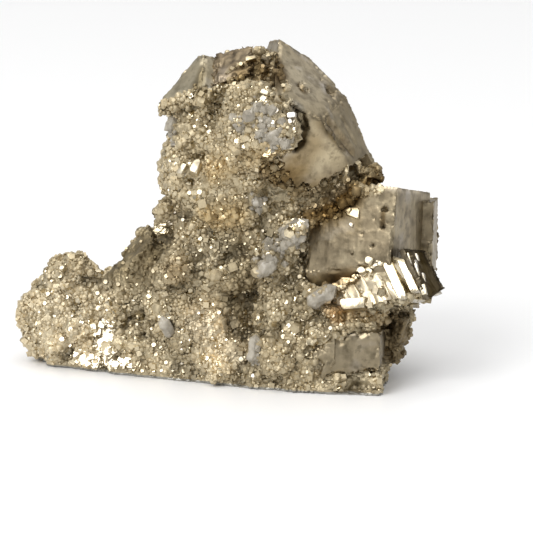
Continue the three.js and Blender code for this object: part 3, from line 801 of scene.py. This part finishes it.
filled_in = (  # middle and radius of the lumps that fill the gaps between the crystals
    ((-17.6, 4, 15.4), 3.4), ((-19.6, 4.5, 14.4), 3.2), ((17.4, -10.4, 12), 2.4), ((20.6, -9.8, 11.4), 2.5),
    ((23.6, -8.6, 11.6), 2.4), ((17.6, -13.4, 10.2), 1.5), ((20.4, -12.9, 10.4), 1.5),
    ((23.2, -12, 10.2), 1.4), ((-10.4, -1, 44.7), 1.2), ((-8.8, -1.9, 45.4), 1.2), ((-7.2, -2.8, 46.2), 1.3),
    ((-5.6, -3.8, 47), 1.3), ((-4.2, -4.6, 47.7), 1.3), ((-3, -5, 48.2), 1.2), ((-2, -5.1, 48.8), 1.2),
    ((5.4, -11.4, 38), 2.0), ((7.2, -11, 37.2), 1.8), ((8.7, -11, 38.4), 1.5), ((6.6, -10, 35.4), 1.5),
    ((8.2, -9.9, 35.4), 1.3), ((8.8, -10.2, 36.8), 1.3), ((14, -6.9, 27.4), 1.3), ((15.4, -7.2, 27.9), 1.1),
    ((17.2, -7.7, 29.1), 1.4), ((18.9, -8.2, 30.3), 1.2), ((20.2, -8.4, 31.3), 1.5), ((22, -8.9, 32.5), 1.3),
    ((22.8, -5, 34.6), 1.5), ((23.8, -3.4, 34.4), 1.5), ((24.3, -1.6, 34), 1.4), ((4.9, -1.6, 54.5), 1.3),
)
rounded_off = (  # places and reach of the keen corners at the top that wore down
    ([(6.4, 3, 55), (6.6, 9, 55.2), (5.6, 11, 54)], 2.6), ([(-30.6, 1, 18.8), (-30.6, 10, 18.8)], 2.0),
    ([(-22.2, 1, 18.8), (-22.2, 10, 18.8)], 2.0),
)
druse_finish = druse_material("druse finish", (0.57, 0.49, 0.335), (0.44, 0.37, 0.245), (0.44, 0.6), 0.0, 1.0)

druse = copy_of(frame["nodes"]["pyrite_cluster"], "druse")
edit()
bpy.ops.mesh.remove_doubles(threshold=1e-6)
for centre, radius in filled_in:
    bpy.ops.mesh.primitive_ico_sphere_add(subdivisions=3, radius=radius * mm, location=at(*centre))
stop_editing()
even_skin(druse, 0.42)

spots, outward = skin_of(druse), outward_of(druse)
drawn = in_drawing(spots)
x, y, z = drawn.T
covered = np.min([among(spots, faces) for faces in grown_smooth], axis=0)
front_u, front_v, off_front = face_place(spots, crown_front)
toothed = (np.abs(off_front) < 2) & (front_u > -11) & (front_u < 4.6) & (front_v < -5) & (front_v > -14)
covered = np.where(toothed, 1.2 * below_teeth(front_u, front_v), covered)
open_spots = np.flatnonzero(covered > 0.5)
finder = kdtree.KDTree(len(open_spots))
for index in open_spots:
    finder.insert(spots[index], int(index))
finder.balance()
ragged = speckle(spots, 1.6)
overgrown = np.zeros(len(spots))  # above 0 where the druse spreads a little way on to a crystal
bare = (among(spots, slab_faces) < 0.3) | (among(spots, crest_faces) < 0.4)
for index in np.flatnonzero((covered <= 0.5) & ~toothed & ~bare):
    overgrown[index] = 0.25 + 1.3 * ragged[index] - finder.find(spots[index])[2] / mm
open_druse = np.maximum(np.clip((covered - 0.3) / 0.8, 0, 1), np.clip(3 * overgrown, 0, 1))
above_cut = np.clip((spots[:, 2] - 0.25 * mm) / (0.5 * mm), 0, 1)
on_head = z > head_floor
broad, lumps, knobs = (lump_distance(spots, size) for size in (7.5, 3.0, 1.5))
rise = 1.0 - 2.2 * broad ** 2 - 2.1 * lumps ** 2 - 0.9 * knobs ** 2
# painted shade in the gaps between the druse's lumps, less on the head
painted_gap_shade = np.clip(0.9 * broad ** 2 + 1.3 * lumps ** 2 - 0.35, 0, 1) * np.where(on_head, 0.4, 1)
dull = closest(drawn, dull_places)
rise = np.where(overgrown > 0, 0.15, rise * np.clip(covered / 2, 0.45, 1) * (1 - 0.5 * dull))
calm = 1 - 0.4 * (on_head & (x < 9))
spots += outward * (rise * calm * open_druse * above_cut * mm)[:, None]
spots -= outward * (0.9 * mm * (1 - open_druse) * above_cut)[:, None]
behind_end = (x > 29.5) & (y < -4.5) & (z > 11.5) & (z < 24)
spots -= np.outer(2.5 * mm * behind_end * (1 - open_druse), stepped_along)
for places, reach in rounded_off:
    spots[:, 2] -= 2.2 * mm * closeness(drawn, places, reach, 1.5)
spots -= np.outer(toothed * np.clip(off_front + 1.3, 0, None) * mm, front_facing)
set_skin(druse, spots)

parts = {  # the parts of the druse that carry grains, each with a piece of its own
    "lobe": (x < lobe_end) & (y < lobe_rear),
    "foot": (x >= lobe_end) & (y < rear) & (z < middle_floor),
    "middle": (x >= lobe_end) & (y < rear) & (z >= middle_floor) & (z < head_floor),
    "head": (y < rear) & (z >= head_floor),
    "back": y >= np.where(x < lobe_end, lobe_rear, rear),
}
quartz_share = closest(drawn, quartz_patches, 1.4)
density = np.clip(0.85 + 1.6 * speckle(spots, 4.5), 0.25, 1) * (1 - 0.93 * dull) * (1 - 0.6 * quartz_share)
spread = open_druse * density * (z > 0.6) * (x < 33.6)
for part, belongs in parts.items():
    store(druse, "cover_" + part, spread * belongs)
finish_piece(druse, druse_finish, soft=40)
# the druse is darkened in the gaps between its lumps, as painted shade
toned(druse, 1 - 0.35 * painted_gap_shade[:, None])
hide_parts("pyrite_cluster")


# The grains: small cubes, cut-cornered cubes and twelve-sided crystals of pyrite, half sunk in the druse and
# turned every way, with crumbs between them. They also grow on a few of the crystals' edges. The bright ones
# all turn towards the light, in a patch at the lower left, along some crests and here and there.
grain_finish = druse_material("grain finish", (0.665, 0.577, 0.405), (0.52, 0.44, 0.293), (0.56, 0.74),
                              0.16, 0.25)
sideways = 0.5  # each face of the twelve-sided form looks two parts out and one part sideways


def cut_corners(depth):
    """Cuts the corners off the active cube."""
    edit()
    bpy.ops.mesh.bevel(offset=depth, affect="VERTICES")
    stop_editing()


def grain_shapes():
    """One grain of each shape, about 1 metre across. The cluster's grains are small copies of them."""
    plain, cut_cornered = new_cube(0.8), new_cube(0.86)
    cut_corners(0.22)
    twelve_sided = new_cube(1.2)
    for axis in range(3):
        for first in (-1, 1):
            for second in (-1, 1):
                facing = [0, 0, 0]
                facing[axis], facing[(axis + 1) % 3] = first, second * sideways
                middle_of_face = Vector(facing).normalized() * 0.5
                edit()
                bpy.ops.mesh.bisect(plane_co=middle_of_face, plane_no=facing, use_fill=True, clear_outer=True)
    stop_editing()
    return plain, cut_cornered, twelve_sided


def scatter(name, kit, cover, spacing, least, most, seed, turns):
    """Geometry nodes that seat grains, more of them where cover is nearer 1, at least spacing apart."""
    group = bpy.data.node_groups.new(name, "GeometryNodeTree")
    group.interface.new_socket("Rock", in_out="INPUT", socket_type="NodeSocketGeometry")
    group.interface.new_socket("Grains", in_out="OUTPUT", socket_type="NodeSocketGeometry")
    rock_in, grains_out = group.nodes.new("NodeGroupInput"), group.nodes.new("NodeGroupOutput")
    covered = add(group, "GeometryNodeInputNamedAttribute", Name=cover)
    seats = add(group, "GeometryNodeDistributePointsOnFaces", {"distribute_method": "POISSON"},
                Mesh=rock_in, Distance_Min=spacing * mm, Density_Max=4 / (spacing * mm) ** 2,
                Density_Factor=covered, Seed=seed)
    shapes = add(group, "GeometryNodeCollectionInfo", Collection=kit, Separate_Children=True,
                 Reset_Children=True)
    share = add(group, "FunctionNodeRandomValue", Seed=seed + 1)
    mostly_small = calculate("POWER", share, 2.2)
    size = ranged(mostly_small, To_Min=least * mm, To_Max=most * mm)
    turn = add(group, "FunctionNodeRandomValue", {"data_type": "FLOAT_VECTOR"}, Seed=seed + 2,
               Min=turns[0], Max=turns[1])
    grown = add(group, "GeometryNodeInstanceOnPoints", Points=seats, Instance=shapes, Pick_Instance=True,
                Rotation=turn, Scale=size)
    tone = add(group, "FunctionNodeRandomValue", Seed=seed + 3)
    toned_grains = add(group, "GeometryNodeStoreNamedAttribute", {"domain": "INSTANCE"}, Geometry=grown,
                       Name="grain_tone", Value=tone)
    real = add(group, "GeometryNodeRealizeInstances", Geometry=toned_grains)
    feed(grains_out.inputs[0], real)
    return group


every_way = ((0, 0, 0), (math.tau, math.tau, math.tau))
to_the_light = ((-0.58, -0.1, -0.42), (-0.35, 0.1, -0.19))  # the front of a cube then mirrors the lamp


def grow_grains(name, ground, kit, cover, spacing, least, most, seed, turns=every_way, finish=grain_finish,
                soft=56):
    """A piece of its own, of the grains that a part of the ground carries."""
    grains = copy_of(ground, name)
    seated = grains.modifiers.new("seated", "NODES")
    seated.node_group = scatter(name, kit, cover, spacing, least, most, seed, turns)
    bpy.ops.object.modifier_apply(modifier=seated.name)
    spots = skin_of(grains)
    spots[:, 2] = np.maximum(spots[:, 2], 0)  # the saw cut through the lowest ones
    set_skin(grains, spots)
    finish_piece(grains, finish, soft)


def kit_of(name, shapes):
    kit = bpy.data.collections.new(name)
    for shape in shapes:
        for collection in shape.users_collection:
            collection.objects.unlink(shape)
        kit.objects.link(shape)
    return kit


def put_away(*kits):
    """Deletes the shapes that grains were copied from."""
    for kit in kits:
        for shape in list(kit.objects):
            bpy.data.objects.remove(shape)


grain_kit = kit_of("grain shapes", grain_shapes())
for number, part in enumerate(parts):
    cover = "cover_" + part
    grow_grains("fine_grains_" + part, druse, grain_kit, cover, 0.54, 0.56, 1.15, 10 * number)
    grow_grains("coarse_grains_" + part, druse, grain_kit, cover, 3.0, 1.1, 1.8, 10 * number + 5)

edges_grown_over = (  # the crystal, and places and reach of the druse that spreads on to it
    (corner, [(13.7, -6.6, 27), (16.8, -7.6, 28.8), (19.4, -8.3, 30.6), (20.4, -8.5, 31.7),
              (24, -9.7, 33.5)], 1.3),
    (crown, [(5.5, -11.3, 38.1), (7.6, -10.5, 36.8), (8.2, -10, 35.2)], 1.6),
    (crown, [(8.4, -3, 54), (8.8, -5, 52.4), (8.9, -6.6, 51), (9.6, -8.4, 49.4)], 0.9),
    (shoulder, shoulder_edge, 0.8),
    (crest, crest_edge, 1.0),
)
for number, (crystal, places, reach) in enumerate(edges_grown_over):
    spots = skin_of(crystal)
    near = off_line(in_drawing(spots), places) + 0.5 * speckle(spots, 1.5)
    cover = "cover_edge_%d" % number
    store(crystal, cover, np.clip(3 - 3 * near / reach, 0, 1))
    grow_grains("edge_grains_%d" % number, crystal, grain_kit, cover, 0.5, 0.5, 1.2, 200 + number)

crumbly = np.clip(closest(drawn, crumbly_places), 0, 0.6)
store(druse, "cover_crumbs", crumbly * open_druse * (z > 0.7))
grow_grains("crumbs", druse, grain_kit, "cover_crumbs", 0.46, 0.32, 0.9, 66, soft=80)
store(dull_end, "cover_dull_end", np.clip(0.5 + 3 * speckle(skin_of(dull_end), 1.5), 0, 1))
grow_grains("dull_end_grains", dull_end, grain_kit, "cover_dull_end", 0.75, 0.5, 1.2, 71, finish=cream_finish,
            soft=40)

bright_places = (  # places and reach of the patches of bright grains
    ([(-20.9, -0.6, 8.4)], 0.8), ([(-20.6, -0.9, 6.2), (-20.8, -1.2, 3.4)], 2.1),
    ([(-24, 0.4, 1.8), (-20, -1.6, 2)], 1.4), ([(-17.6, -3.4, 2.4), (-16.4, -4, 1.8)], 1.1),
    ([(-11.2, -2.5, 24.4), (-10.3, -3.2, 25.6)], 0.9), (shoulder_edge, 0.8), ([(5.6, -12.8, 48.6)], 0.5),
    ([(11, -12.8, 44), (11.2, -12.6, 41.6)], 0.9), ([(6.4, -13.6, 39.2), (9, -12.6, 39)], 0.8),
    ([(11.4, -9.6, 26.9), (10.4, -9.6, 26.2)], 0.6), ([(9.6, -9.4, 24)], 0.7), ([(6.6, -10.2, 21.2)], 0.8),
)
mirrors_lamp = Vector((-0.3, -0.85, 0.42))  # the way a face looks that mirrors the lamp
facing_lamp = np.clip(outward @ np.array(mirrors_lamp) - 0.2, 0, 1)
store(druse, "cover_bright", closest(drawn, bright_places, 1.5) * open_druse * (z > 0.9))
store(druse, "cover_sparkling", facing_lamp * open_druse * (1 - 0.6 * dull) * (z > 1))
bright_finish = crystal_face("bright finish", (0.68, 0.61, 0.46), (0.6, 0.52, 0.37), (0.26, 0.46))


def rolled_cube(roll, cut):
    """A cube with cut corners, rolled about its front's facing, so that a patch of them isn't in rows."""
    cube = new_cube(0.8, rotation=(0, math.radians(roll), 0))
    bpy.ops.object.transform_apply()
    cut_corners(cut)
    return cube


rolled = kit_of("rolled cubes", [rolled_cube(roll, 0.08) for roll in (0, 17, 33, 52, 71)])
grow_grains("bright_grains", druse, rolled, "cover_bright", 0.38, 0.55, 1.3, 77, to_the_light, bright_finish,
            soft=40)
sparkling = kit_of("cut-cornered cubes", [rolled_cube(roll, 0.2) for roll in (12, 40, 68)])
grow_grains("sparkling_grains", druse, sparkling, "cover_sparkling", 1.45, 0.4, 0.95, 55, to_the_light,
            cream_finish, soft=40)
put_away(grain_kit, rolled, sparkling)


# The bright crystals: small clean cubes of pyrite that turn straight towards the light. A few stand on the
# waist, the knob, the crest, the corner cube and the lobe, and the rest on the stepped crystal, as steps in
# its broken end and in a ridge along its top.
lean_to_lamp, swing_to_lamp = -26.6, -17.5  # turns about X and Z that make a cube's front mirror the lamp
bright_cubes = {  # middle, edges, and how far each is turned from that about X, Z and its front, in degrees
    "waist_left": ((-7.2, -7.8, 35.9), (1.1, 2, 2.0), (7, -6, 24)),
    "waist_right": ((-5.2, -8.2, 36.3), (1.7, 2, 2.7), (-5, 7, 14)),
    "corner_spot": ((20.6, -8.8, 28.8), (2.3, 1.6, 2.0), (2, 0, 12)),
    "corner_spot_left": ((19.7, -8.7, 29.3), (1.3, 1.4, 1.1), (4, -3, 40)),
    "corner_spot_low": ((20.1, -9.2, 26.9), (1.0, 1.2, 0.8), (0, 3, 30)),
    "corner_edge": ((22.9, -11.9, 21.4), (1.5, 1.6, 1.4), (2, 2, 20)),
    "corner_edge_low": ((21.7, -11.9, 19.9), (1.5, 1.6, 1.4), (-2, 0, 50)),
    "knob_rim": ((10.3, -12.9, 45.6), (1.5, 1.2, 0.9), (0, 2, -10)),
    "knob_top": ((6.0, -12.2, 49.2), (1.3, 1.2, 0.8), (6, 0, 16)),
    "crest_spot": ((3.7, -3.5, 53.4), (1.9, 1.2, 0.8), (-7, 5, -14)),
    "lobe_top": ((-28.1, 5.2, 16.6), (1.1, 1.2, 1.1), (0, 0, 30)),
    "stepped_low": ((20.7, -12.9, 14.4), (4.9, 1.8, 2.1), (2, 2, -8)),
}
small_steps = (  # place into and up the stepped crystal's broken end, width and height
    (-3.6, 1.9, 0.5, 2.3), (0.2, 2.4, 0.4, 1.5), (-2.8, -0.4, 0.5, 2.6), (-1.4, -1.5, 0.4, 1.6),
    (-4.2, -4.0, 0.9, 1.8), (-1.6, 1.2, 0.3, 1.4),
)
for number, (into, up, wide, high) in enumerate(small_steps):
    middle_of_step = on_stepped(stepped_length / 2 + layer_slant * up, into, up)
    bright_cubes["step_%d" % number] = (middle_of_step, (wide, 0.8, high), (4, -3, -22))
on_ridge = random.Random(4)
for number in range(24):
    along, size = -6.9 + 0.4 * number, on_ridge.uniform(0.5, 1.2)
    up = 1.7 + 0.16 * along + on_ridge.uniform(0, 1)
    edges = (size, 1.6, on_ridge.uniform(0.6, 1.1) * size)
    turns = (on_ridge.uniform(-9, 9), on_ridge.uniform(-9, 9), on_ridge.uniform(-40, 40))
    bright_cubes["ridge_%d" % number] = (on_stepped(along, -3.9, up), edges, turns)

for name, (centre, edges, (lean, swing, roll)) in bright_cubes.items():
    cube = new_cube(1, location=at(*centre))
    cube.name = "bright_" + name
    askew = random.Random(name)
    uneven = [[askew.uniform(0.6, 1.15), 1, askew.uniform(0.6, 1.15)] for _ in range(8)]
    set_skin(cube, skin_of(cube) * uneven)
    cube.scale = Vector(edges) * mm
    aimed = turned((lean + lean_to_lamp, 0, swing + swing_to_lamp)).to_matrix()
    cube.rotation_euler = (aimed @ Matrix.Rotation(math.radians(roll), 3, "Y")).to_euler()
    bpy.ops.object.transform_apply()
    cut_corners(0.24 * min(edges) * mm)
    worn_edges(cube, 0.1, 3)
    finish_crystal(cube, bright_finish)


# The quartz: short six-sided milky crystals that the pyrite grew round, pointed at both ends. A few stand
# alone, and the rest are small and lie between the grains in patches.
quartz_finish, shader, place = new_material("quartz finish")
own = attribute(place, "grain_tone", "Fac")
clear = ranged(calculate("ADD", own, spotted(place, 500, 0.35, 0.65)), From_Max=1.6)
fill(
    shader, Base_Color=blend_colours(clear, (0.58, 0.53, 0.435, 1), (0.3, 0.265, 0.205, 1)),
    Roughness=0.32, IOR=1.54, Transmission_Weight=0.2,
    Normal=bumps(clouds(place, 1300, 3.0), 0.6, 0.3),
)


def quartz_crystal(radius, length):
    """A six-sided crystal that stands upright at the origin, pointed at both ends."""
    bpy.ops.mesh.primitive_cylinder_add(vertices=6, radius=radius, depth=length - 2 * radius)
    prism = bpy.context.active_object
    bpy.ops.object.mode_set(mode="EDIT")
    for way in (-1, 1):
        bpy.ops.mesh.select_mode(type="FACE")
        bpy.ops.mesh.select_all(action="DESELECT")
        stop_editing()
        for face in prism.data.polygons:
            face.select = face.normal.z * way > 0.9
        bpy.ops.object.mode_set(mode="EDIT")
        bpy.ops.mesh.extrude_region_move(TRANSFORM_OT_translate={"value": (0, 0, way * radius)})
        bpy.ops.mesh.merge(type="CENTER")
    stop_editing()
    return prism


quartz_crystals = {  # middle, radius, length and turn of those that stand alone
    "quartz_under_corner": ((15.2, -10.9, 15.4), 1.5, 6.6, (0, 54, -14)),
    "quartz_left": ((-10.2, -6.4, 9.2), 1.1, 4.6, (10, -24, 0)),
    "quartz_valley_foot": ((4.1, -12, 6.8), 1.0, 5.4, (4, 8, 0)),
    "quartz_valley_top": ((6.4, -9.8, 20.2), 1.3, 4.6, (0, 40, 0)),
    "quartz_valley_high": ((10.2, -9.3, 25.6), 1.1, 4.2, (20, 70, 0)),
    "quartz_knob": ((7.4, -13.5, 42.2), 1.4, 4, (40, 20, 0)),
}
for name, (centre, radius, length, turn) in quartz_crystals.items():
    prism = quartz_crystal(radius * mm, length * mm)
    prism.name = name
    prism.rotation_euler = turned(turn)
    prism.location = at(*centre)
    bpy.ops.object.transform_apply()
    even_skin(prism, 0.15)
    spots = skin_of(prism)
    push_in(prism, -0.22 * speckle(spots, 1.2) - 0.1 * speckle(spots, 0.5))
    store(prism, "grain_tone", np.full(len(spots), 0.45))
    finish_piece(prism, quartz_finish, 35)

store(druse, "cover_quartz", quartz_share * open_druse)
shards = [quartz_crystal(radius, length) for radius, length in ((0.3, 1.0), (0.36, 0.9), (0.42, 1.0))]
quartz_kit = kit_of("quartz shapes", shards)
grow_grains("quartz_grains", druse, quartz_kit, "cover_quartz", 0.62, 1.1, 2.8, 91, every_way, quartz_finish,
            25)
put_away(quartz_kit)


# The stage: a plain white table, and soft studio light from a large lamp at the upper left and a bright
# ceiling.
pale = 0.92
bpy.ops.mesh.primitive_plane_add(size=6.0)
table = bpy.context.active_object
table.name = "table"
table_finish, shader, place = new_material("table finish")
fill(shader, Base_Color=(pale, pale, pale, 1), Roughness=0.35)
table.data.materials.append(table_finish)

world = bpy.data.worlds.new("studio")
bpy.context.scene.world = world
world.use_nodes = True
sky = world.node_tree
direction = add(sky, "ShaderNodeTexCoord").outputs["Generated"]
above = add(sky, "ShaderNodeSeparateXYZ", Vector=direction).outputs["Z"]
ramp = add(sky, "ShaderNodeValToRGB", Fac=above)
glows = ((0.0, 0.36), (0.35, 0.5), (0.7, 0.75), (0.86, 1.3), (0.95, 2.2))  # height on the sky, brightness
while len(ramp.color_ramp.elements) < len(glows):
    ramp.color_ramp.elements.new(0.5)
for stop, (place_on_sky, glow) in zip(ramp.color_ramp.elements, glows):
    stop.position = place_on_sky
    stop.color = (glow, glow, glow, 1)
fill(sky.nodes["Background"], Color=ramp.outputs["Color"], Strength=1.0)

lamp = bpy.data.objects.new("key lamp", bpy.data.lights.new("key lamp", "AREA"))
lamp.data.shape, lamp.data.size, lamp.data.energy = "SQUARE", 0.6, 9
towards_lamp = Vector((-0.5, -0.6, 0.62)).normalized()
lamp.location = Vector((0, 0, 0.025)) + towards_lamp * 1.2
lamp.rotation_euler = towards_lamp.to_track_quat("Z", "Y").to_euler()
bpy.context.scene.collection.objects.link(lamp)


# The camera looks slightly down at the middle of the cluster, from in front, and takes in what the
# photograph does.
pixels_across, pixels_per_mm = 533, 6.0
distance, across_view, look_down = 0.5, pixels_across / pixels_per_mm * mm, math.radians(12)
camera = bpy.data.objects.new("camera", bpy.data.cameras.new("camera"))
camera.data.sensor_width = 36
camera.data.lens = 36 * distance / across_view
back = Vector((0, -math.cos(look_down), math.sin(look_down)))
camera.location = at(6.25, 0, 18.1) + back * distance
camera.rotation_euler = back.to_track_quat("Z", "Y").to_euler()
camera.data.clip_end = 100
bpy.context.scene.collection.objects.link(camera)
bpy.context.scene.camera = camera
bpy.context.scene.view_settings.view_transform = "Standard"
